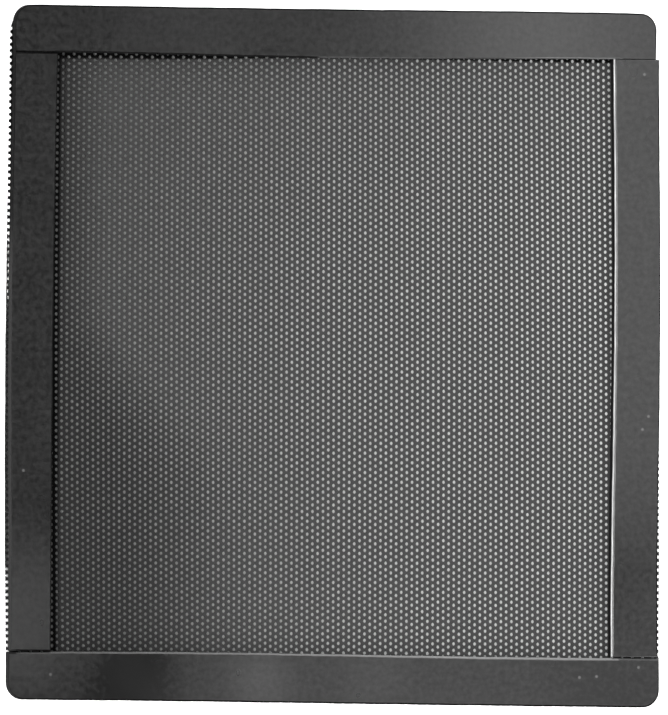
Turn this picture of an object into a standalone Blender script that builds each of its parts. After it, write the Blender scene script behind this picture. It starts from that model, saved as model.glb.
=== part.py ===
"""A magnetic dust filter for a 120 mm fan.

A punched PVC sheet lies at the bottom, and four flexible magnet strips are stuck on top of it
as a frame. The top and bottom strips run the full width and carry the rounded corners. The
left and right strips butt between them, with a hairline seam at each joint.

+X is to the right, +Y runs towards the top strip, and +Z points out of the strips' bare faces.
The origin is on the surface that the filter lies on, under the middle of the sheet.
"""

import math

import bmesh
import bpy
from mathutils import Matrix, Vector

MM = 0.001

# The frame of strips, cut and laid by hand, so the two side strips differ in width
FRAME_WIDTH = 120.0 * MM
FRAME_HEIGHT = 120.0 * MM
END_STRIP_WIDTH = 8.4 * MM
LEFT_STRIP_WIDTH = 7.7 * MM
RIGHT_STRIP_WIDTH = 8.4 * MM
STRIP_THICKNESS = 1.2 * MM
TOP_STRIP_CUT_SHORT = 1.2 * MM
CORNER_RADIUS = 3.0 * MM
SEAM = 0.3 * MM

# The strips' upper rims: the one that looks into the window is sloped off by the cutting blade,
# and all of them are slightly rounded
RIM_SLOPE_WIDTH = 0.45 * MM
RIM_SLOPE_DEPTH = 0.27 * MM
EDGE_ROUNDING = 0.12 * MM

# The punched sheet
SHEET_THICKNESS = 0.4 * MM
SHEET_PEEPS_OUT_SIDEWAYS = 0.8 * MM
SHEET_PEEPS_OUT_LENGTHWAYS = 0.2 * MM
ADHESIVE_GAP = 0.3 * MM

# The punched pattern: staggered round gaps at the real sheet's proportions. The real holes are
# 0.66 mm across and 1.12 mm apart, and each gap here stands for a patch of them, nine to a side.
GAP_DIAMETER = 5.94 * MM
WEB_BETWEEN_GAPS = 4.14 * MM
PLAIN_BORDER = 0.5 * MM
GAP_SIDES = 12

# How finely round shapes are faceted
CORNER_STEPS = 8
ROUNDING_STEPS = 2


def material(name, colour, roughness):
    made = bpy.data.materials.new(name)
    made.use_nodes = True
    shader = made.node_tree.nodes["Principled BSDF"]
    shader.inputs["Base Color"].default_value = (*colour, 1.0)
    shader.inputs["Roughness"].default_value = roughness
    shader.inputs["Metallic"].default_value = 0.0
    return made


def outline(width, height, radii):
    """A rectangle's outline about the origin, anticlockwise. radii are for the corners at the
    bottom left, bottom right, top right and top left, and 0 leaves a corner square."""
    signs = ((-1, -1), (1, -1), (1, 1), (-1, 1))
    points = []
    for quarter, ((across, along), radius) in enumerate(zip(signs, radii)):
        centre = Vector((across * (width / 2 - radius), along * (height / 2 - radius)))
        if radius == 0:
            points.append(centre)
            continue
        for step in range(CORNER_STEPS + 1):
            angle = math.pi + (quarter + step / CORNER_STEPS) * math.pi / 2
            points.append(centre + radius * Vector((math.cos(angle), math.sin(angle))))
    return points


def raise_outline(points, thickness):
    """A closed slab of this outline, from z = 0 up to its thickness."""
    bm = bmesh.new()
    floor = bm.faces.new([bm.verts.new((p.x, p.y, 0.0)) for p in points])
    raised = bmesh.ops.extrude_face_region(bm, geom=[floor])["geom"]
    top = [v for v in raised if isinstance(v, bmesh.types.BMVert)]
    bmesh.ops.translate(bm, vec=(0.0, 0.0, thickness), verts=top)
    bmesh.ops.recalc_face_normals(bm, faces=bm.faces)
    return bm


def slope_rim(bm, width):
    """Slices off the upper rim along the side at -Y, the one that looks into the window."""
    sliced = bmesh.ops.bisect_plane(
        bm,
        geom=bm.verts[:] + bm.edges[:] + bm.faces[:],
        plane_co=(0.0, RIM_SLOPE_WIDTH - width / 2, STRIP_THICKNESS),
        plane_no=(0.0, -RIM_SLOPE_DEPTH, RIM_SLOPE_WIDTH),
        clear_outer=True,
    )
    cut = [e for e in sliced["geom_cut"] if isinstance(e, bmesh.types.BMEdge)]
    bmesh.ops.contextual_create(bm, geom=cut)
    bmesh.ops.recalc_face_normals(bm, faces=bm.faces)


def round_upper_edges(bm, radius):
    """Rounds the edges between the faces that look up and the walls."""
    bm.normal_update()

    def looks_up(face):
        return face.normal.z > 0.5

    rim = [e for e in bm.edges if len({looks_up(f) for f in e.link_faces}) == 2]
    rim = [e for e in rim if all(v.co.z > STRIP_THICKNESS / 2 for v in e.verts)]
    bmesh.ops.bevel(
        bm, geom=rim, offset=radius, segments=ROUNDING_STEPS, profile=0.5, affect="EDGES"
    )


def to_mesh(bm, name):
    bmesh.ops.recalc_face_normals(bm, faces=bm.faces)
    mesh = bpy.data.meshes.new(name)
    bm.to_mesh(mesh)
    bm.free()
    return mesh


def strip_mesh(name, length, width, radii):
    """A magnet strip along X whose side at -Y looks into the window."""
    bm = raise_outline(outline(length, width, radii), STRIP_THICKNESS)
    slope_rim(bm, width)
    round_upper_edges(bm, EDGE_ROUNDING)
    return to_mesh(bm, name)


def place(name, mesh, look, parent, location=(0.0, 0.0, 0.0), turn=0.0):
    piece = bpy.data.objects.new(name, mesh)
    bpy.context.collection.objects.link(piece)
    if not mesh.materials:
        mesh.materials.append(look)
    piece.parent = parent
    piece.location = location
    piece.rotation_euler = (0.0, 0.0, turn)
    return piece


def gap_centres():
    """The staggered grid of gaps that fills the window between the strips, columns along Y."""
    pitch = GAP_DIAMETER + WEB_BETWEEN_GAPS
    column_step = pitch * math.sin(math.radians(60))
    stagger = pitch / 4
    borders = LEFT_STRIP_WIDTH + RIGHT_STRIP_WIDTH + 2 * PLAIN_BORDER
    free_width = FRAME_WIDTH - borders - GAP_DIAMETER
    free_height = FRAME_HEIGHT - 2 * (END_STRIP_WIDTH + PLAIN_BORDER + stagger) - GAP_DIAMETER
    columns = int(free_width / column_step) + 1
    rows = int(free_height / pitch) + 1
    window_middle = (LEFT_STRIP_WIDTH - RIGHT_STRIP_WIDTH) / 2
    for column in range(columns):
        x = window_middle + (column - (columns - 1) / 2) * column_step
        shift = stagger if column % 2 else -stagger
        for row in range(rows):
            yield x, (row - (rows - 1) / 2) * pitch + shift


def punch(sheet, parent):
    """Cuts the gaps out of the sheet, all in one Boolean with a cutter of round punches."""
    bm = bmesh.new()
    for x, y in gap_centres():
        bmesh.ops.create_cone(
            bm,
            cap_ends=True,
            segments=GAP_SIDES,
            radius1=GAP_DIAMETER / 2,
            radius2=GAP_DIAMETER / 2,
            depth=3 * SHEET_THICKNESS,
            matrix=Matrix.Translation((x, y, SHEET_THICKNESS / 2)),
        )
    mesh = bpy.data.meshes.new("punches")
    bm.to_mesh(mesh)
    bm.free()
    punches = bpy.data.objects.new("punches", mesh)
    bpy.context.collection.objects.link(punches)
    punches.parent = parent
    punches.hide_render = True
    punches.display_type = "WIRE"
    cut = sheet.modifiers.new("punched gaps", "BOOLEAN")
    cut.operation = "DIFFERENCE"
    cut.solver = "EXACT"
    cut.object = punches


def punched_sheet(look, parent):
    """The PVC sheet. Its cut edge peeps out all round from under the strips."""
    width = FRAME_WIDTH + 2 * SHEET_PEEPS_OUT_SIDEWAYS
    height = FRAME_HEIGHT + 2 * SHEET_PEEPS_OUT_LENGTHWAYS
    points = outline(width, height, (CORNER_RADIUS + SHEET_PEEPS_OUT_LENGTHWAYS,) * 4)
    mesh = to_mesh(raise_outline(points, SHEET_THICKNESS), "mesh_sheet")
    punch(place("mesh_sheet", mesh, look, parent), parent)


def magnet_strips(look, parent):
    """Two strips with rounded outer corners across the ends, and two square ones between them."""
    seat = SHEET_THICKNESS + ADHESIVE_GAP
    corners = (0, 0, CORNER_RADIUS, CORNER_RADIUS)
    end_y = (FRAME_HEIGHT - END_STRIP_WIDTH) / 2
    top_length = FRAME_WIDTH - TOP_STRIP_CUT_SHORT
    top = strip_mesh("top_strip", top_length, END_STRIP_WIDTH, corners)
    bottom = strip_mesh("bottom_strip", FRAME_WIDTH, END_STRIP_WIDTH, corners)
    place("top_strip", top, look, parent, (-TOP_STRIP_CUT_SHORT / 2, end_y, seat))
    place("bottom_strip", bottom, look, parent, (0.0, -end_y, seat), math.pi)

    side_length = FRAME_HEIGHT - 2 * (END_STRIP_WIDTH + SEAM)
    left_x = (FRAME_WIDTH - LEFT_STRIP_WIDTH) / 2
    right_x = (FRAME_WIDTH - RIGHT_STRIP_WIDTH) / 2
    left = strip_mesh("left_strip", side_length, LEFT_STRIP_WIDTH, (0, 0, 0, 0))
    right = strip_mesh("right_strip", side_length, RIGHT_STRIP_WIDTH, (0, 0, 0, 0))
    place("left_strip", left, look, parent, (-left_x, 0.0, seat), math.pi / 2)
    place("right_strip", right, look, parent, (right_x, 0.0, seat), -math.pi / 2)


def main():
    for old in list(bpy.data.objects):
        bpy.data.objects.remove(old)
    filter_origin = bpy.data.objects.new("fan_dust_filter", None)
    bpy.context.collection.objects.link(filter_origin)
    punched_sheet(material("punched PVC sheet", (0.035, 0.035, 0.036), 0.5), filter_origin)
    magnet_strips(material("satin magnet strip", (0.05, 0.05, 0.051), 0.38), filter_origin)


main()
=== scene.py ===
"""The looks of a magnetic dust filter for a 120 mm fan.

The punched film gets its real holes, some thirteen thousand of them, and the four magnet strips
get the sways, sliced rims and wavering cuts of strips that were laid by hand. Lengths in this
script are in millimetres and turn into metres where a mesh, a lamp or the camera is made.
"""

import math

import bpy
import numpy as np
from mathutils import Matrix, Vector
from mathutils.geometry import delaunay_2d_cdt


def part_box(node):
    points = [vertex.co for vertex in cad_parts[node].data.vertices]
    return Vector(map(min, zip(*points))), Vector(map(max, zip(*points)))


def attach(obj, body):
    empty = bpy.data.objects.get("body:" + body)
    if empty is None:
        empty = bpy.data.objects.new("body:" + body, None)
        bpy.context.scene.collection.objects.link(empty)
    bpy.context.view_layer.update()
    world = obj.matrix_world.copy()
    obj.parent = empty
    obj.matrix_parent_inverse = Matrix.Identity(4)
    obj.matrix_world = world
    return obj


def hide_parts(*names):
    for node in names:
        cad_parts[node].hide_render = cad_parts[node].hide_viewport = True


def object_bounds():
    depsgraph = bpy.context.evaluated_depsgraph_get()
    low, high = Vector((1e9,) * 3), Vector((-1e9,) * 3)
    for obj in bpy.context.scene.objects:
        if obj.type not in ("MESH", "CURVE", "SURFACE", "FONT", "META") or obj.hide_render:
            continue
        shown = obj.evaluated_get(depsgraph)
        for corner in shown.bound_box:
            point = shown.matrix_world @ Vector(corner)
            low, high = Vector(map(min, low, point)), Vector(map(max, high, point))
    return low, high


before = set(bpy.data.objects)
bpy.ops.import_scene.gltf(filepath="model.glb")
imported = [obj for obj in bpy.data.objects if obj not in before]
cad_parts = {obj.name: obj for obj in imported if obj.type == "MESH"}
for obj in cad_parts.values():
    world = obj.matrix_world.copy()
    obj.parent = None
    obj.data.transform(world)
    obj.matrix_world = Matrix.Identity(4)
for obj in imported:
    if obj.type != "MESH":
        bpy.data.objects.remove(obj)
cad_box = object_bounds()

MM = 0.001

# How the picture is taken: from far away, from the filter's left (lengths in mm, angles in degrees)
LENS_MM = 1500.0
SENSOR_MM = 36.0
CAMERA_YAW = 21.5
CAMERA_PITCH = -0.83
CAMERA_ROLL = 0.44
CAMERA_DISTANCE = 5145.7
CAMERA_TARGET = (0.0, -0.19)

# The filter's sizes, from the CAD nodes
SHEET_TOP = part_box("mesh_sheet")[1][2] / MM
STRIP_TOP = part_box("top_strip")[1][2] / MM
# The strips' feet hang a hair above the film, so that the two don't share a plane
FOOT_GAP = 0.02
STRIP_FOOT = SHEET_TOP + FOOT_GAP
LEFT_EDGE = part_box("left_strip")[0][0] / MM
LEFT_WINDOW_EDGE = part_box("left_strip")[1][0] / MM
RIGHT_WINDOW_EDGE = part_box("right_strip")[0][0] / MM
RIGHT_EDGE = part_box("right_strip")[1][0] / MM
TOP_WINDOW_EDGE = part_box("top_strip")[0][1] / MM
TOP_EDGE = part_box("top_strip")[1][1] / MM
BOTTOM_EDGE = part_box("bottom_strip")[0][1] / MM
BOTTOM_WINDOW_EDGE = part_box("bottom_strip")[1][1] / MM
CORNER_RADIUS = 3.0
FRAME_HALF = 60.0
# The corners of the frame in the order of an anticlockwise outline from the lower left
CORNER_SIGNS = ((-1, -1), (1, -1), (1, 1), (-1, 1))
ARC_POINTS = 13

# Hand-cut edges: how far each strays from its straight line, at five places along it
SWAY_PLACES = np.array((-52.0, -26.0, 0.0, 26.0, 52.0))
SWAYS = {
    "left outer": (-0.04, -0.20, -0.41, -0.29, 0.02),
    "left inner": (-0.24, -0.28, -0.28, -0.10, 0.24),
    "right inner": (-0.28, -0.29, -0.08, -0.19, -0.63),
    "right outer": (0.06, -0.08, 0.08, -0.12, -0.51),
    "top outer": (-0.18, -0.15, -0.06, 0.10, 0.16),
    "top inner": (0.05, -0.03, -0.13, 0.17, 0.50),
    "bottom outer": (0.26, 0.20, 0.06, -0.07, -0.15),
    "bottom inner": (0.16, 0.31, 0.19, 0.0, -0.02),
    "film left": (-0.23, -0.67, -0.77, -0.62, -0.40),
    "film right": (0.74, 0.66, 0.46, 0.14, -0.62),
}
# Curves and margins are followed up to this many times their full length, and are level beyond
CURVE_REACH = 1.1
# The knife's fine waver: how far it goes, its waves as (length, share), and how far they shift
# from one edge to the next
SHIVER = 0.015
SHIVER_WAVES = ((3.1, 0.5), (7.3, 0.8), (17.0, 1.0))
SHIVER_SHIFT = 1.7

# The film's punched holes, in columns that run along Y
HOLE_DIAMETER = 0.66
HOLE_PITCH = 1.12
COLUMN_STEP = HOLE_PITCH * math.sin(math.radians(60))
FIRST_COLUMN = -60.25
HOLE_COLUMNS = 124
HOLE_SIDES = 12
HIDDEN_HOLE_SIDES = 6
# How far the film peeps out past the top and bottom strips, where its sides' points end, and
# where along the frame the place of its corners is read
FILM_PEEPS_OUT = 0.03
FILM_SIDE_ENDS = 54.0
FILM_CORNER_PLACE = 56.0
FILM_CORNER_RADII = (3.2, 3.6, 4.5, 5.0)
FILM_PIECES = 5
# Hole cells reach this many rows and columns past the film, and holes this near the window's
# edge, in mm, are as round as those in it
SPARE_CELLS = 3
WINDOW_MARGIN = 1.0

# The film was pulled a little askew when it was laid, so its pattern strays from a regular one,
# across and along the frame: at the left, middle and right, each at the five places up
STRETCH_PLACE = 52.0
STRAY_ACROSS = (
    (0.68, 0.33, 0.06, -0.03, 0.02),
    (0.27, 0.14, -0.01, -0.17, -0.34),
    (0.76, 0.54, 0.28, -0.18, -0.66),
)
STRAY_ALONG = (
    (0.06, -0.45, -0.58, -0.75, -1.20),
    (0.31, 0.09, 0.10, -0.01, -0.46),
    (0.52, 0.67, 0.83, 0.72, 0.22),
)
# and under the side strips it was pulled this much further to the left
LEFT_MARGIN_PULL = (0.56, 0.40, 0.17, 0.14, 0.16)
RIGHT_MARGIN_PULL = (0.34, 0.18, 0.0, 0.0, 0.0)


def linear(hex_colour):
    """An sRGB hex colour as the linear RGBA that shaders take."""
    channels = []
    for start in (1, 3, 5):
        value = int(hex_colour[start : start + 2], 16) / 255
        channels.append(value / 12.92 if value <= 0.04045 else ((value + 0.055) / 1.055) ** 2.4)
    return (*channels, 1.0)


def bend(values, place):
    """A smooth curve through five values given at SWAY_PLACES."""
    curve = np.polyfit(SWAY_PLACES / SWAY_PLACES[-1], values, len(SWAY_PLACES) - 1)
    return np.polyval(curve, np.clip(place / SWAY_PLACES[-1], -CURVE_REACH, CURVE_REACH))


def shiver(place, seed):
    """The knife's fine waver at this place along a cut."""
    total = 0
    for number, (length, share) in enumerate(SHIVER_WAVES):
        total = total + share * np.sin(math.tau * place / length + seed * (number + SHIVER_SHIFT))
    return SHIVER * total


def edge_line(base, name):
    """A function that gives an edge's place across the frame from the place along it."""
    seed = list(SWAYS).index(name)
    return lambda place: base + bend(SWAYS[name], place) + shiver(place, seed)


def add_piece(name, mesh, nodes, looks):
    """Shows this mesh as a piece on the body, in place of these CAD nodes."""
    piece = bpy.data.objects.new(name, mesh)
    bpy.context.collection.objects.link(piece)
    for look in looks:
        mesh.materials.append(look)
    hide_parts(*nodes)
    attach(piece, "root")


# The camera and the room


def camera():
    """A very long lens that looks at the filter from its left, tipped and rolled a little."""
    yaw = math.radians(CAMERA_YAW)
    pitch = math.radians(CAMERA_PITCH)
    level = math.cos(pitch)
    back = Vector((-math.sin(yaw) * level, math.sin(pitch), math.cos(yaw) * level))
    right = Vector((math.cos(yaw), 0.0, math.sin(yaw)))
    up = back.cross(right)
    roll = math.radians(CAMERA_ROLL)
    right, up = (
        right * math.cos(roll) + up * math.sin(roll),
        up * math.cos(roll) - right * math.sin(roll),
    )
    data = bpy.data.cameras.new("camera")
    data.lens = LENS_MM
    data.sensor_width = SENSOR_MM
    data.clip_start = 0.1
    data.clip_end = 20.0
    view = bpy.data.objects.new("camera", data)
    bpy.context.collection.objects.link(view)
    place = Vector((*CAMERA_TARGET, 0.0)) * MM + back * CAMERA_DISTANCE * MM
    view.matrix_world = Matrix.Translation(place) @ Matrix((right, up, back)).transposed().to_4x4()
    bpy.context.scene.camera = view


def lamp(name, kind, place, aim, power, **settings):
    """A lamp at this place that shines at aim, and that the camera doesn't see itself."""
    data = bpy.data.lights.new(name, kind)
    data.energy = power
    for setting, value in settings.items():
        setattr(data, setting, value)
    made = bpy.data.objects.new(name, data)
    bpy.context.collection.objects.link(made)
    made.location = Vector(place) * MM
    made.rotation_euler = (Vector(aim) - Vector(place)).to_track_quat("-Z", "Y").to_euler()
    made.visible_camera = False


# The room: pale walls up to this many degrees all round, and a dim ceiling
WALL_TOP = 33.0
WALL_SOFTNESS = 6.0
WALL_LIGHT = 8.0
CEILING_LIGHT = 0.21

# The key light, like a low window to the left
KEY_ELEVATION = 35.0
KEY_STRENGTH = 3.2
KEY_SOFTNESS = 5.0
KEY_DISTANCE = 1000.0
# The soft panels: where they hang, their width and depth, and their power
SIDE_PANEL = ((89, 37, 90), (90, 134), 0.063)
FRONT_PANEL = ((34, -58, 42), (94, 26), 0.0085)
# The two lamps on the camera's side. Light from there shines right through the film's holes, so
# they set how bright the holes look.
CAMERA_SIDE = (-0.366, 0.0, 0.93)
POOL_MIDDLE = (32, 1)
POOL_RADIUS = 66
POOL_DISTANCE = 1500
POOL_POWER = 29.5
POOL_BLEND = 0.6
POOL_LAMP_RADIUS = 30
EDGE_MIDDLE = (-60.4, 26)
EDGE_SIZE = (34, 1.6)
EDGE_DISTANCE = 60.0
EDGE_SPREAD = 3.0
EDGE_POWER = 0.000105


def pale_room():
    """A world of light walls and a dim ceiling, which keeps the satin faces dark from above."""
    world = bpy.data.worlds.new("pale room")
    bpy.context.scene.world = world
    world.use_nodes = True
    tree = world.node_tree
    direction = add(tree, "TexCoord").outputs["Generated"]
    rise = add(tree, "SeparateXYZ", {"Vector": direction}).outputs["Z"]
    ceiling = math.sin(math.radians(WALL_TOP + WALL_SOFTNESS))
    walls = math.sin(math.radians(WALL_TOP - WALL_SOFTNESS))
    steps = (rise, ceiling, walls, CEILING_LIGHT, WALL_LIGHT)
    glow = add(tree, "MapRange", steps, **SMOOTH).outputs[0]
    tree.links.new(glow, tree.nodes["Background"].inputs["Strength"])
    tree.nodes["Background"].inputs["Color"].default_value = linear("#ffffff")


def rectangle(size):
    """The settings of a rectangular lamp of this size."""
    return {"shape": "RECTANGLE", "size": size[0] * MM, "size_y": size[1] * MM}


def soft_panel(name, place, size, power):
    """A panel that hangs level over this place and shines straight down."""
    lamp(name, "AREA", place, (place[0], place[1], 0), power, **rectangle(size))


def key_light():
    """A narrow light from the left, so low that hardly any of it shines through the holes."""
    slope = math.radians(KEY_ELEVATION)
    place = (-KEY_DISTANCE * math.cos(slope), 0.0, KEY_DISTANCE * math.sin(slope))
    lamp("key", "SUN", place, (0, 0, 0), KEY_STRENGTH, angle=math.radians(KEY_SOFTNESS))


def pool_light():
    """A soft-edged pool of light on the right half, in line with the camera."""
    place = Vector((*POOL_MIDDLE, 0)) + Vector(CAMERA_SIDE).normalized() * POOL_DISTANCE
    cone = {
        "spot_size": 2 * math.atan(POOL_RADIUS / POOL_DISTANCE),
        "spot_blend": POOL_BLEND,
        "shadow_soft_size": POOL_LAMP_RADIUS * MM,
    }
    lamp("pool", "SPOT", place, (*POOL_MIDDLE, 0), POOL_POWER, **cone)


def edge_light():
    """A slit of light that falls through the holes along the film's upper left edge."""
    place = Vector((*EDGE_MIDDLE, 0)) + Vector(CAMERA_SIDE).normalized() * EDGE_DISTANCE
    slit = {"spread": math.radians(EDGE_SPREAD), **rectangle(EDGE_SIZE)}
    lamp("edge lamp", "AREA", place, (*EDGE_MIDDLE, 0), EDGE_POWER, **slit)


def lights():
    """All the lamps and the room. Colours are shown as they are, with no film-like curve."""
    key_light()
    soft_panel("side panel", *SIDE_PANEL)
    soft_panel("front panel", *FRONT_PANEL)
    pool_light()
    edge_light()
    pale_room()
    bpy.context.scene.view_settings.view_transform = "Standard"


FLOOR_HALF = 2000.0


def floor():
    mesh = bpy.data.meshes.new("floor")
    half = FLOOR_HALF * MM
    mesh.from_pydata([(x * half, y * half, 0) for x, y in CORNER_SIGNS], [], [(0, 1, 2, 3)])
    ground = bpy.data.objects.new("floor", mesh)
    bpy.context.collection.objects.link(ground)
    mesh.materials.append(white_paper())


# The finishes


# The settings of a range whose ends are rounded off, and of a mix of two colours
SMOOTH = {"interpolation_type": "SMOOTHSTEP"}
COLOURS = {"data_type": "RGBA"}


def add(tree, kind, inputs=(), **settings):
    """Adds a node of this kind with its settings, and sets or links its inputs, which are given
    by their names or else in their order."""
    made = tree.nodes.new("ShaderNode" + kind)
    for setting, value in settings.items():
        setattr(made, setting, value)
    for socket, value in inputs.items() if isinstance(inputs, dict) else enumerate(inputs):
        if isinstance(value, bpy.types.NodeSocket):
            tree.links.new(value, made.inputs[socket])
        else:
            made.inputs[socket].default_value = value
    return made


def finish(name, roughness, specular):
    """A new material: itself, its nodes, its shader and the place on the object in metres."""
    made = bpy.data.materials.new(name)
    made.use_nodes = True
    tree = made.node_tree
    shader = tree.nodes["Principled BSDF"]
    shader.inputs["Roughness"].default_value = roughness
    shader.inputs["Specular IOR Level"].default_value = specular
    place = add(tree, "TexCoord").outputs["Object"]
    return made, tree, shader, place


def per_metre(size):
    """The scale that makes a texture's cells this many millimetres wide."""
    return 1000.0 / size


def metres(places):
    """These places, given in millimetres, in metres."""
    return [place * MM for place in places]


# What a noise texture's values span, but for a few
NOISE_SPAN = (0.3, 0.7)


def mottle(tree, place, size, low, high, detail=2.0):
    """Soft noise whose spots are size millimetres wide, from low to high."""
    noise = add(tree, "TexNoise", {"Vector": place, "Scale": per_metre(size), "Detail": detail})
    return add(tree, "MapRange", (noise.outputs[0], *NOISE_SPAN, low, high)).outputs[0]


def spots(tree, place, marks, softness):
    """The sum of round marks on the strips, each given as its x, y, radius and strength."""
    total = 0.0
    for x, y, radius, strength in marks:
        centre = (x * MM, y * MM, STRIP_TOP * MM)
        away = add(tree, "VectorMath", (place, centre), operation="DISTANCE").outputs["Value"]
        reach = radius * MM
        steps = (away, reach * (1 - softness), reach, strength, 0.0)
        mark = add(tree, "MapRange", steps, **SMOOTH).outputs[0]
        total = add(tree, "Math", (total, mark), operation="ADD").outputs[0]
    return total


PAPER_CLOUD = 8.0


def white_paper():
    """Plain white paper, which the filter lies on: bright and dull."""
    made, tree, shader, place = finish("white paper", 0.9, 0.2)
    cloudy = mottle(tree, place, PAPER_CLOUD, 0.0, 1.0)
    shades = {"Factor": cloudy, "A": linear("#f2f2f2"), "B": linear("#f6f6f6")}
    colour = add(tree, "Mix", shades, **COLOURS).outputs["Result"]
    tree.links.new(colour, shader.inputs["Base Color"])
    return made


# Painted reflections: patches on the strips' faces painted greyer (or, below nought, blacker),
# where the faces would mirror more or less light: x, y, radius and strength
PAINTED_REFLECTIONS = (
    (-58, -46, 21, 0.42),
    (-38, -56, 12, -0.36),
    (-14, -56, 9, 0.40),
    (-25, 56, 26, 0.20),
    (37, 56, 25, 0.32),
    (7, -56, 10, 0.18),
    (50, -56, 18, -0.15),
)
# Grains and pinholes that show as light specks: x and y
SPECKS = (
    (56.71, 49.57),
    (-52.70, -55.39),
    (-57.97, -20.36),
    (56.83, -11.99),
    (57.94, -9.72),
    (48.58, -54.87),
    (56.42, -53.25),
    (45.41, -55.07),
)
SPECK_RADIUS = 0.36
# How much of the light the strips' satin skin mirrors
SATIN_SHARE = 0.041
# The grain that the rollers press into both vinyls: its depth, and how wide it is on the strips
# and on the film. The real grain is finer, and is drawn as coarse as it needs to show.
GRAIN_DEPTH = 0.004
STRIP_GRAIN = 0.35
FILM_GRAIN = 0.2
# How wide the softer patches are: of the skin's black, of its gloss, and of the drawn rims' gloss
BLACK_PATCH = 0.9
GLOSS_PATCH = 11.0
RIM_GLOSS_PATCH = 4.0
# The ferrite grit that a cut through magnet rubber lays bare, and the flecks that break up the
# painted sheen on the film
GRIT = 0.5
SHEEN_FLECK = 0.5


def rolled_vinyl():
    """The strips' faces, magnet rubber skinned with rolled black vinyl: an even satin black with
    a fine leathery grain, greyer and blacker patches of painted reflection and some light specks.
    The satin is a layer of its own that mirrors the same small share from every side, so the
    faces stay black from low down."""
    made, tree, shader, place = finish("satin vinyl, rolled", 0.9, 0.0)
    cloudy = mottle(tree, place, BLACK_PATCH, 0.01, 0.37, 4.0)
    # Painted reflection: greyer and blacker patches where the faces mirror more or less light
    reflection_patches = spots(tree, place, PAINTED_REFLECTIONS, 1.0)
    grey = add(tree, "Math", (cloudy, reflection_patches), operation="ADD").outputs[0]
    blacks = {"Factor": grey, "A": linear("#020202"), "B": linear("#2a2a2a")}
    skin = add(tree, "Mix", blacks, **COLOURS).outputs["Result"]
    specks = spots(tree, place, [(x, y, SPECK_RADIUS, 1.0) for x, y in SPECKS], 0.6)
    speckled = {"Factor": specks, "A": skin, "B": linear("#3a3a3a")}
    colour = add(tree, "Mix", speckled, **COLOURS).outputs["Result"]
    tree.links.new(colour, shader.inputs["Base Color"])
    pressed = mottle(tree, place, STRIP_GRAIN, 0.0, 1.0, 3.0)
    relief = {"Height": pressed, "Distance": GRAIN_DEPTH * MM, "Strength": 1.0}
    grain = add(tree, "Bump", relief).outputs[0]
    tree.links.new(grain, shader.inputs["Normal"])
    roughness = mottle(tree, place, GLOSS_PATCH, 0.27, 0.34)
    gloss = {"Color": linear("#ffffff"), "Roughness": roughness, "Normal": grain}
    satin = add(tree, "BsdfAnisotropic", gloss, distribution="GGX").outputs[0]
    both = add(tree, "MixShader", (SATIN_SHARE, shader.outputs[0], satin)).outputs[0]
    tree.links.new(both, tree.nodes["Material Output"].inputs["Surface"])
    return made


# Painted highlight: the left side is painted grey, as if lit, from a little above the middle down
# to the seam, and less so round the lower corner: heights, how much is left at the corner, and the
# place across
PAINTED_HIGHLIGHT_STARTS = (26.0, 14.0)
PAINTED_HIGHLIGHT_FADES = (-51.2, -51.8)
PAINTED_HIGHLIGHT_AT_CORNER = 0.4
PAINTED_HIGHLIGHT_INNER_END = (-58.9, -59.3)


def painted_highlight_share(tree, place):
    """How much of the painted highlight shows: all of it on the lower part of the left side."""
    across, along, _ = add(tree, "SeparateXYZ", {"Vector": place}).outputs
    share = 1.0
    for coordinate, ends, values in (
        (along, PAINTED_HIGHLIGHT_STARTS, (0.0, 1.0)),
        (along, PAINTED_HIGHLIGHT_FADES, (1.0, PAINTED_HIGHLIGHT_AT_CORNER)),
        (across, PAINTED_HIGHLIGHT_INNER_END, (0.0, 1.0)),
    ):
        steps = (coordinate, *metres(ends), *values)
        stretch = add(tree, "MapRange", steps, **SMOOTH).outputs[0]
        share = add(tree, "Math", (share, stretch), operation="MULTIPLY").outputs[0]
    return share


def sliced_rubber():
    """The strips' cut walls, where the magnet rubber is bare: dull and nearly black, but painted
    grey as a highlight on the lower part of the left side."""
    made, tree, shader, place = finish("magnet rubber, sliced", 0.85, 0.02)
    gritty = mottle(tree, place, GRIT, 0.0, 1.0)
    blacks = {"Factor": gritty, "A": linear("#060606"), "B": linear("#0c0c0c")}
    clean = add(tree, "Mix", blacks, **COLOURS).outputs["Result"]
    # Painted highlight: the lower part of the left side's walls is painted grey
    highlighted = {"Factor": painted_highlight_share(tree, place), "A": clean, "B": linear("#1c1c1c")}
    colour = add(tree, "Mix", highlighted, **COLOURS).outputs["Result"]
    tree.links.new(colour, shader.inputs["Base Color"])
    return made


# How shiny the drawn rims are (a specular level), and between which places across the frame they
# get so: the bottom strip's and the top strip's, and the share that is left past the window
LOW_SHINE_PLACES = (-60.0, 20.0)
LOW_SHINE = (0.08, 0.5)
HIGH_SHINE_PLACES = (28.0, 40.0)
HIGH_SHINE = (0.10, 0.5)
TOP_RIM_STARTS = (51.0, 51.3)
WINDOW_PASSED = (52.4, 53.0)
PAST_WINDOW = 0.3


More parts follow.
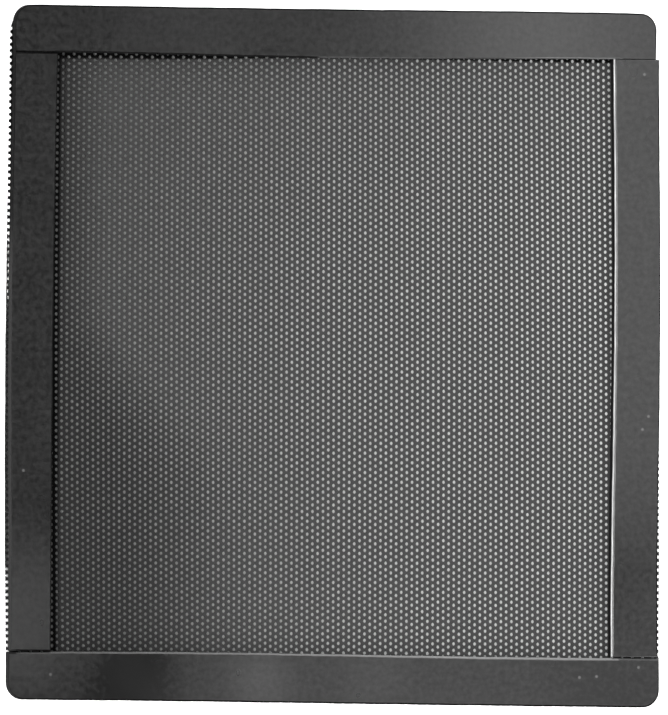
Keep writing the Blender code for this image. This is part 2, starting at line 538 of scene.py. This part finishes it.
def drawn_rim():
    """The rims where the blade drew the vinyl down over the cut: smoother than the face, so they
    catch the light as a bright line. The bottom strip's is more and more scuffed towards the
    left, the top strip's is smooth at its right end only, and both are dull past the window."""
    made, tree, shader, place = finish("vinyl rim, drawn down by the blade", 0.33, 0.5)
    across, along, _ = add(tree, "SeparateXYZ", {"Vector": place}).outputs
    low = add(tree, "MapRange", (across, *metres(LOW_SHINE_PLACES), *LOW_SHINE)).outputs[0]
    steps = (across, *metres(HIGH_SHINE_PLACES), *HIGH_SHINE)
    high = add(tree, "MapRange", steps, **SMOOTH).outputs[0]
    steps = (along, *metres(TOP_RIM_STARTS), 0.0, 1.0)
    at_top = add(tree, "MapRange", steps, **SMOOTH).outputs[0]
    chosen = add(tree, "Mix", {"Factor": at_top, "A": low, "B": high}).outputs["Result"]
    steps = (across, *metres(WINDOW_PASSED), 1.0, PAST_WINDOW)
    past_window = add(tree, "MapRange", steps, **SMOOTH).outputs[0]
    shine = add(tree, "Math", (chosen, past_window), operation="MULTIPLY").outputs[0]
    tree.links.new(shine, shader.inputs["Specular IOR Level"])
    cloudy = mottle(tree, place, BLACK_PATCH, 0.0, 1.0)
    shades = {"Factor": cloudy, "A": linear("#1a1a1a"), "B": linear("#222222")}
    colour = add(tree, "Mix", shades, **COLOURS).outputs["Result"]
    tree.links.new(colour, shader.inputs["Base Color"])
    roughness = mottle(tree, place, RIM_GLOSS_PATCH, 0.30, 0.38)
    tree.links.new(roughness, shader.inputs["Roughness"])
    return made


# The painted sheen that greys the film thins out to the left of a soft border. The border goes
# from one (x, y) up to the other, its softness from one width to the other, and some sheen is left.
PAINTED_SHEEN_LOW = (-27.0, -26.0)
PAINTED_SHEEN_HIGH = (-46.5, 10.0)
PAINTED_SHEEN_FADE = (16.0, 6.0)
PAINTED_SHEEN_FLOOR = 0.15
# Painted shadow: the film is painted black beside the left strip, out to between these distances
# from it, and below the top strip, to a depth that goes from one value to the other between two
# places
LEFT_PAINTED_SHADOW = (0.9, 1.5)
TOP_PAINTED_SHADOW = (1.2, 0.15)
TOP_PAINTED_SHADOW_ENDS = (-40.0, 0.0)


def painted_sheen(tree, across, along):
    """How thickly the painted sheen greys the film: evenly, but thinning out at the left and lower
    left.
    """
    heights = (PAINTED_SHEEN_LOW[1], PAINTED_SHEEN_HIGH[1])
    steps = (along, *metres((*heights, PAINTED_SHEEN_LOW[0], PAINTED_SHEEN_HIGH[0])))
    border = add(tree, "MapRange", steps, **SMOOTH).outputs[0]
    fade = add(tree, "MapRange", (along, *metres((*heights, *PAINTED_SHEEN_FADE))), **SMOOTH).outputs[0]
    beyond = add(tree, "Math", (across, border), operation="SUBTRACT").outputs[0]
    past = add(tree, "Math", (beyond, fade), operation="DIVIDE").outputs[0]
    return add(tree, "MapRange", (past, -1.0, 1.0, PAINTED_SHEEN_FLOOR, 1.0), **SMOOTH).outputs[0]


def out_of_painted_shadow(tree, across, along):
    """Where the film is out of the painted shadow: one in the open and nothing beside the strips.
    """
    shadow_ends = [LEFT_WINDOW_EDGE * MM + end for end in metres(LEFT_PAINTED_SHADOW)]
    beside = add(tree, "MapRange", (across, *shadow_ends, 0.0, 1.0), **SMOOTH).outputs[0]
    steps = (across, *metres(TOP_PAINTED_SHADOW_ENDS), *metres(TOP_PAINTED_SHADOW))
    reach = add(tree, "MapRange", steps, **SMOOTH).outputs[0]
    below = add(tree, "Math", (TOP_WINDOW_EDGE * MM, along), operation="SUBTRACT").outputs[0]
    depth = add(tree, "Math", (below, reach), operation="DIVIDE").outputs[0]
    under = add(tree, "MapRange", (depth, 0.5, 1.0, 0.0, 1.0), **SMOOTH).outputs[0]
    return add(tree, "Math", (beside, under), operation="MULTIPLY").outputs[0]


def punched_pvc():
    """The film, calendered black PVC: duller than the strips, greyed by a flecked painted sheen
    that lowers the contrast of its holes, black in the painted shadow beside the left strip and
    below the top strip, and painted grey as a highlight where it peeps out at the left."""
    made, tree, shader, place = finish("PVC film, calendered and punched", 0.5, 0.5)
    across, along, _ = add(tree, "SeparateXYZ", {"Vector": place}).outputs
    # Painted shadow: black beside the left strip and below the top strip
    film_out_of_shadow = out_of_painted_shadow(tree, across, along)
    flecks = mottle(tree, place, SHEEN_FLECK, 0.75, 1.25, 3.0)
    # Painted sheen, broken into flecks, over the film outside the painted shadow
    painted_sheen_share = 1.0
    for share in (painted_sheen(tree, across, along), film_out_of_shadow, flecks):
        painted_sheen_share = add(tree, "Math", (painted_sheen_share, share), operation="MULTIPLY").outputs[0]
    # Colour: black in the painted shadow, lighter in the open, plus the painted highlight and sheen
    colour = linear("#020202")
    for share, lighter in (
        (film_out_of_shadow, "#101010"),
        (painted_highlight_share(tree, place), "#1a1a1a"),
        (painted_sheen_share, "#262626"),
    ):
        shades = {"Factor": share, "A": colour, "B": linear(lighter)}
        colour = add(tree, "Mix", shades, **COLOURS).outputs["Result"]
    tree.links.new(colour, shader.inputs["Base Color"])
    # The painted shadow also takes most of the film's gloss away
    gloss = add(tree, "MapRange", (film_out_of_shadow, 0.0, 1.0, 0.02, 0.1)).outputs[0]
    tree.links.new(gloss, shader.inputs["Specular IOR Level"])
    pressed = mottle(tree, place, FILM_GRAIN, 0.0, 1.0)
    relief = {"Height": pressed, "Distance": GRAIN_DEPTH * MM, "Strength": 1.0}
    grain = add(tree, "Bump", relief).outputs[0]
    tree.links.new(grain, shader.inputs["Normal"])
    return made


# The magnet strips

# A rim's profile from the strip's foot up, as (inset, drop below the top face) pairs: the wall,
# then the rim itself, which is rounded or, towards the window, sloped
WALL_DROP = STRIP_TOP - STRIP_FOOT
WALL_PROFILE = ((0.0, WALL_DROP), (0.0, 0.5))
ROUNDED_RIM = ((0.0, 0.16), (0.03, 0.09), (0.10, 0.03), (0.18, 0.0), (0.26, 0.0))
CRISPER_AT_LEFT = 0.6
SLOPE_DEPTH = 0.34
SLOPED_RIM = ((0.08, 0.82), (0.5, 0.35), (0.92, 0.03), (1.0, 0.0))
FACE_INSET = 0.06
# Edges sharper than this, in degrees, show as edges
SMOOTH_STRIP = 40
# The strips' material slots
FACE, WALL, RIM = range(3)


def rounded_rim(leftness):
    """The profile of a side that doesn't look into the window. The cuts at the left are crisper."""
    inwards = 1.0 - CRISPER_AT_LEFT * leftness
    return WALL_PROFILE + tuple((inset * inwards, drop) for inset, drop in ROUNDED_RIM)


def sloped_rim(width):
    """The profile of a side that looks into the window, with a slope this wide."""
    slope = tuple((inset * width, drop * SLOPE_DEPTH) for inset, drop in SLOPED_RIM)
    return WALL_PROFILE + ((0.0, SLOPE_DEPTH),) + slope


# How far the outline's regular points, one a millimetre, keep from the ends and the corners
END_MARGIN = 0.8
CORNER_MARGIN = 0.3
# How nearly two sides must line up to share their corner's shift
NEARLY_STRAIGHT = 0.97


def outer_corner(corner, radius, outer, inward):
    """The outline round an outer corner, from the strip's end on to its outer edge. inward is the
    sign of the way from the corner to the strip's middle."""
    if radius == 0:
        return [(corner, float(outer(corner)))]
    hub_along = corner + inward * radius
    hub_across = float(outer(hub_along)) - radius
    arc = []
    for degrees in np.linspace(0, 90, ARC_POINTS):
        turn = math.radians(degrees)
        along = hub_along - inward * radius * math.cos(turn)
        arc.append((along, hub_across + radius * math.sin(turn)))
    return arc


def strip_outline(start, end, inner, outer, radii):
    """The strip's outline as points (along, across), with one flag for each side that follows a
    point: True where that side looks into the window. radii are for the outer corners."""
    inner_run = np.arange(math.ceil(start + END_MARGIN), end - END_MARGIN, 1.0)
    points = [(float(a), float(inner(a))) for a in (start, *inner_run, end)]
    window = [True] * (len(points) - 1) + [False]
    last = math.floor(end - radii[1] - CORNER_MARGIN)
    first = math.ceil(start + radii[0] + CORNER_MARGIN)
    back = outer_corner(end, radii[1], outer, -1)
    back += [(float(a), float(outer(a))) for a in np.arange(last, first - 0.5, -1.0)]
    back += outer_corner(start, radii[0], outer, 1)[::-1]
    return points + back, window + [False] * len(back)


def inset_outline(points, depths):
    """Each point moved inwards so that the side after point i moves by depths[i]."""
    points = np.array(points)
    along = np.roll(points, -1, axis=0) - points
    along /= np.linalg.norm(along, axis=1)[:, None]
    inward = np.stack((-along[:, 1], along[:, 0]), axis=1)
    moved = []
    for i in range(len(points)):
        before, after = inward[i - 1], inward[i]
        if np.dot(before, after) > NEARLY_STRAIGHT:
            shift = (before + after) / 2 * (depths[i - 1] + depths[i]) / 2
        else:
            shift = np.linalg.solve(np.array((before, after)), np.array((depths[i - 1], depths[i])))
        moved.append(points[i] + shift)
    return np.array(moved)


def side_profiles(points, window, ends, slopes, sign, upright):
    """The profile of each side of the outline. slopes are the window rim's widths at the ends."""
    start, end = ends
    profiles = []
    for i, (along, across) in enumerate(points):
        next_along, next_across = points[(i + 1) % len(points)]
        length = math.dist((along, across), (next_along, next_across))
        leftward = sign * (next_along - along) if upright else across - next_across
        if window[i]:
            width = slopes[0] + (slopes[1] - slopes[0]) * (along - start) / (end - start)
            profiles.append(sloped_rim(width))
        else:
            profiles.append(rounded_rim(max(0.0, leftward / length)))
    return profiles


def strip_rings(points, profiles, sign):
    """The strip's rings from its foot up its walls, over its rims and onto its face."""
    rings = []
    for level in range(len(profiles[0])):
        flat = inset_outline(points, [profile[level][0] for profile in profiles])
        drops = [max(profiles[i][level][1], profiles[i - 1][level][1]) for i in range(len(points))]
        rings.append([(a, sign * c, STRIP_TOP - drop) for (a, c), drop in zip(flat, drops)])
    top = inset_outline(points, [profile[-1][0] + FACE_INSET for profile in profiles])
    rings.append([(a, sign * c, STRIP_TOP) for a, c in top])
    return rings


def side_looks(points, window, ends, drawn, end_look):
    """The look of the rim along each side of the outline: smooth where the blade drew it, that of
    the ends at the ends, and otherwise that of the walls."""
    looks = []
    for i, (along, _) in enumerate(points):
        next_along = points[(i + 1) % len(points)][0]
        if along == next_along and along in ends:
            looks.append(end_look)
        elif window[i] and drawn[0] < along < drawn[1]:
            looks.append(RIM)
        else:
            looks.append(WALL)
    return looks


def magnet_strip(node, ends, inner, outer, radii, slopes, drawn, end_look, upright, looks):
    """Lofts a strip through its rings and closes it with one flat face. slopes are the window
    rim's widths at the strip's ends, and drawn is the stretch of it that the blade left smooth.
    upright strips run along Y, with their inner edge across X."""
    sign = 1.0 if inner(0.0) < outer(0.0) else -1.0
    points, window = strip_outline(
        *ends, lambda a: sign * inner(a), lambda a: sign * outer(a), radii
    )
    profiles = side_profiles(points, window, ends, slopes, sign, upright)
    rings = strip_rings(points, profiles, sign)
    rims = side_looks(points, window, ends, drawn, end_look)
    verts = [v for ring in rings for v in ring]
    if upright:
        verts = [(c, a, z) for a, c, z in verts]
    count = len(points)
    faces = []
    kinds = []
    for level in range(len(rings) - 1):
        low, high = level * count, (level + 1) * count
        for i in range(count):
            j = (i + 1) % count
            faces.append((low + i, low + j, high + j, high + i))
            if level == len(rings) - 2:
                kinds.append(FACE)
            else:
                kinds.append(rims[i] if level >= len(WALL_PROFILE) else WALL)
    last = (len(rings) - 1) * count
    faces += [tuple(range(last, last + count)), tuple(range(count - 1, -1, -1))]
    kinds += [FACE, WALL]
    mesh = bpy.data.meshes.new(node)
    mesh.from_pydata([(x * MM, y * MM, z * MM) for x, y, z in verts], [], faces)
    if upright != (sign < 0):
        mesh.flip_normals()
    mesh.shade_smooth()
    mesh.set_sharp_from_angle(angle=math.radians(SMOOTH_STRIP))
    add_piece(node + "_strip_laid", mesh, [node + "_strip"], looks)
    for face, kind in zip(mesh.polygons, kinds):
        face.material_index = kind


def magnet_strips():
    looks = [rolled_vinyl(), sliced_rubber(), drawn_rim()]
    edges = {
        "left": (LEFT_WINDOW_EDGE, LEFT_EDGE),
        "right": (RIGHT_WINDOW_EDGE, RIGHT_EDGE),
        "top": (TOP_WINDOW_EDGE, TOP_EDGE),
        "bottom": (BOTTOM_WINDOW_EDGE, BOTTOM_EDGE),
    }
    rounded = (CORNER_RADIUS, CORNER_RADIUS)
    square = (0.0, 0.0)
    # ends, corners, the window rim's slopes and its smooth stretch, the end rims, upright or not
    plan = {
        "left": (-51.36, 51.60, square, (0.35, 0.35), (0, 0), WALL, True),
        "right": (-51.48, 52.19, square, (0.50, 0.50), (-60, 60), FACE, True),
        "top": (-60.0, 58.98, rounded, (0.30, 0.24), (-5, 59.0), WALL, False),
        "bottom": (-60.4, 60.34, rounded, (0.40, 0.52), (-60, 60.2), WALL, False),
    }
    for node, (start, end, *rest) in plan.items():
        inner = edge_line(edges[node][0], node + " inner")
        outer = edge_line(edges[node][1], node + " outer")
        magnet_strip(node, (start, end), inner, outer, *rest, looks)


# The punched film


def stray(values, x, y):
    """How far the pattern has strayed here: a parabola through the values at the left, middle and
    right, each of them a smooth curve of the height."""
    t = x / STRETCH_PLACE
    left, middle, right = (bend(row, y) for row in values)
    return left * t * (t - 1) / 2 + middle * (1 - t * t) + right * t * (t + 1) / 2


def lattice_place(column, row):
    """Where a point of the hole pattern lies. column counts from the first column, and row counts
    pitches from the middle."""
    x = FIRST_COLUMN + column * COLUMN_STEP
    y = row * HOLE_PITCH
    under_left = (LEFT_WINDOW_EDGE - x) / (LEFT_WINDOW_EDGE - LEFT_EDGE)
    under_right = (x - RIGHT_WINDOW_EDGE) / (RIGHT_EDGE - RIGHT_WINDOW_EDGE)
    left_pull = np.clip(under_left, 0.0, CURVE_REACH) ** 2 * bend(LEFT_MARGIN_PULL, y)
    right_pull = np.clip(under_right, 0.0, CURVE_REACH) ** 2 * bend(RIGHT_MARGIN_PULL, y)
    x_strayed = x + stray(STRAY_ACROSS, x, y) - (left_pull + right_pull)
    return np.stack((x_strayed, y + stray(STRAY_ALONG, x, y)), axis=-1)


def film_outline():
    """The film's cut edge, anticlockwise from the lower left corner: swaying sides and corners
    that are rounded by more than the strips', so most of them hide under the strips."""
    left = edge_line(-FRAME_HALF, "film left")
    right = edge_line(FRAME_HALF, "film right")
    low = edge_line(BOTTOM_EDGE - FILM_PEEPS_OUT, "bottom outer")
    high = edge_line(TOP_EDGE + FILM_PEEPS_OUT, "top outer")
    run = np.arange(-FILM_SIDE_ENDS, FILM_SIDE_ENDS + 0.5, 1.0)
    sides = (
        [(x, float(low(x))) for x in run],
        [(float(right(y)), y) for y in run],
        [(x, float(high(x))) for x in run[::-1]],
        [(float(left(y)), y) for y in run[::-1]],
    )
    points = []
    for quarter, radius in enumerate(FILM_CORNER_RADII):
        across, along = CORNER_SIGNS[quarter]
        corner_x = (left if across < 0 else right)(FILM_CORNER_PLACE * along)
        corner_y = (low if along < 0 else high)(FILM_CORNER_PLACE * across)
        hub = (corner_x - across * radius, corner_y - along * radius)
        for degrees in np.linspace(0, 90, ARC_POINTS):
            turn = math.radians(180 + 90 * quarter + degrees)
            points.append((hub[0] + radius * math.cos(turn), hub[1] + radius * math.sin(turn)))
        points.extend(sides[quarter])
    low_corner, high_corner = (np.array(corner[:2]) / MM for corner in cad_box)
    return np.clip(np.array(points, dtype=float), low_corner, high_corner)


def inside(points, outline):
    """Which of the points lie inside the outline, by counting crossings."""
    hits = np.zeros(len(points), dtype=int)
    ends = np.roll(outline, -1, axis=0)
    for (ax, ay), (bx, by) in zip(outline, ends):
        if ay == by:
            continue
        spans = (points[:, 1] > ay) != (points[:, 1] > by)
        cross = ax + (points[:, 1] - ay) * (bx - ax) / (by - ay)
        hits += spans & (points[:, 0] < cross)
    return hits % 2 == 1


# What delaunay_2d_cdt is asked for, and how near to each other it takes points for one, in mm
TRIANGLES_INSIDE = 1
SAME_POINT = 1e-4


def cut_cells(corners, holes, outline):
    """The triangles of the cells that the film's edge runs through, all cut in one go so that
    neighbours share their corners."""
    points = np.concatenate([corners.reshape(-1, 2), holes.reshape(-1, 2), outline])
    loops = []
    start = 0
    for sides in [6] * len(corners) + [holes.shape[1]] * len(holes) + [len(outline)]:
        loops.append(list(range(start, start + sides)))
        start += sides
    flat_points = [Vector(p) for p in points]
    found = delaunay_2d_cdt(flat_points, [], loops, TRIANGLES_INSIDE, SAME_POINT)
    flat, faces, sources, owners = found[0], found[2], found[3], found[5]
    exact = np.array([points[s[0]] if s else tuple(v) for v, s in zip(flat, sources)])
    cells = range(len(corners))
    punched = range(len(corners), 2 * len(corners))
    kept = []
    for face, loop_numbers in zip(faces, owners):
        in_cell = any(k in cells for k in loop_numbers)
        in_hole = any(k in punched for k in loop_numbers)
        in_film = len(loops) - 1 in loop_numbers
        if in_cell and in_film and not in_hole:
            kept.append(exact[list(face)])
    return np.array(kept)


def ring_triangles(corners, holes):
    """Triangles between each cell's six corners and its hole, for many cells at once."""
    sides = holes.shape[1]
    per_corner = sides // 6
    shared = max(per_corner // 2, 1)
    parts = []
    for m in range(6):
        corner, following = corners[:, m], corners[:, (m + 1) % 6]
        rim = [holes[:, (per_corner * m + k) % sides] for k in range(per_corner + 1)]
        parts.append((corner, following, rim[shared]))
        parts += [(corner, rim[k + 1], rim[k]) for k in range(shared)]
        parts += [(following, rim[k + 1], rim[k]) for k in range(shared, per_corner)]
    return np.concatenate([np.stack(p, axis=1) for p in parts])


def hole_rims(centres, sides):
    """The corners of the holes at these centres, as polygons with this many sides."""
    turns = math.tau * np.arange(sides) / sides
    return centres[:, None] + HOLE_DIAMETER / 2 * np.stack((np.cos(turns), np.sin(turns)), axis=-1)


def in_window(places):
    """Which of these places show in the window between the strips, or nearly do."""
    x, y = places[:, 0], places[:, 1]
    across = (x > LEFT_WINDOW_EDGE - WINDOW_MARGIN) & (x < RIGHT_WINDOW_EDGE + WINDOW_MARGIN)
    along = (y > BOTTOM_WINDOW_EDGE - WINDOW_MARGIN) & (y < TOP_WINDOW_EDGE + WINDOW_MARGIN)
    return across & along


# A hexagonal cell's corners from its centre, in columns and pitches
CELL_CORNERS = ((2 / 3, 0), (1 / 3, 0.5), (-1 / 3, 0.5), (-2 / 3, 0), (-1 / 3, -0.5), (1 / 3, -0.5))


def film_cells():
    """Yields the triangles of the film's flat pattern, one upright band after another."""
    outline = film_outline()
    rows = int(FRAME_HALF / HOLE_PITCH) + SPARE_CELLS
    columns = np.arange(-SPARE_CELLS, HOLE_COLUMNS + SPARE_CELLS + 1)
    for band in np.array_split(columns, FILM_PIECES):
        cells = np.array([(c, r + 0.5 * (c % 2)) for c in band for r in range(-rows, rows + 1)])
        column, row = cells[:, 0], cells[:, 1]
        centres = lattice_place(column, row)
        corners = np.stack([lattice_place(column + a, row + b) for a, b in CELL_CORNERS], axis=1)
        within = inside(corners.reshape(-1, 2), outline).reshape(-1, 6)
        whole = within.all(axis=1)
        cut = within.any(axis=1) & ~whole
        seen = whole & in_window(centres)
        hidden = whole & ~seen
        parts = [
            ring_triangles(corners[seen], hole_rims(centres[seen], HOLE_SIDES)),
            ring_triangles(corners[hidden], hole_rims(centres[hidden], HIDDEN_HOLE_SIDES)),
        ]
        if cut.any():
            parts.append(cut_cells(corners[cut], hole_rims(centres[cut], HOLE_SIDES), outline))
        yield np.concatenate([part for part in parts if len(part)])


# Corners that agree to this many decimals are one
MERGED_DECIMALS = 5
# Edges sharper than this, in degrees, show as edges
SMOOTH_FILM = 35


def raise_film(name, triangles, look):
    """Makes a closed sheet of these flat triangles, with walls down every open edge."""
    corners = np.round(triangles.reshape(-1, 2), MERGED_DECIMALS)
    flat, index = np.unique(corners, axis=0, return_inverse=True)
    faces = index.reshape(-1, 3)
    first, second, third = faces.T
    faces = faces[(first != second) & (second != third) & (third != first)]
    count = len(flat)
    sides = np.concatenate([faces[:, [0, 1]], faces[:, [1, 2]], faces[:, [2, 0]]])
    forward = sides[:, 0].astype(np.int64) * count + sides[:, 1]
    backward = sides[:, 1].astype(np.int64) * count + sides[:, 0]
    open_sides = sides[~np.isin(forward, backward)]
    a, b = open_sides.T
    walls = np.concatenate([np.stack((a, a + count, b), 1), np.stack((b, a + count, b + count), 1)])
    under = faces[:, ::-1] + count
    above = np.c_[flat, np.full(count, SHEET_TOP)]
    below = np.c_[flat, np.zeros(count)]
    verts = np.concatenate([above, below]) * MM
    mesh = bpy.data.meshes.new(name)
    mesh.from_pydata(verts.tolist(), [], np.concatenate([faces, under, walls]).tolist())
    mesh.shade_smooth()
    mesh.set_sharp_from_angle(angle=math.radians(SMOOTH_FILM))
    add_piece(name, mesh, ["mesh_sheet"], [look])


def punched_film():
    look = punched_pvc()
    for number, triangles in enumerate(film_cells(), start=1):
        raise_film(f"mesh_sheet_{number}", triangles, look)


camera()
lights()
floor()
magnet_strips()
punched_film()
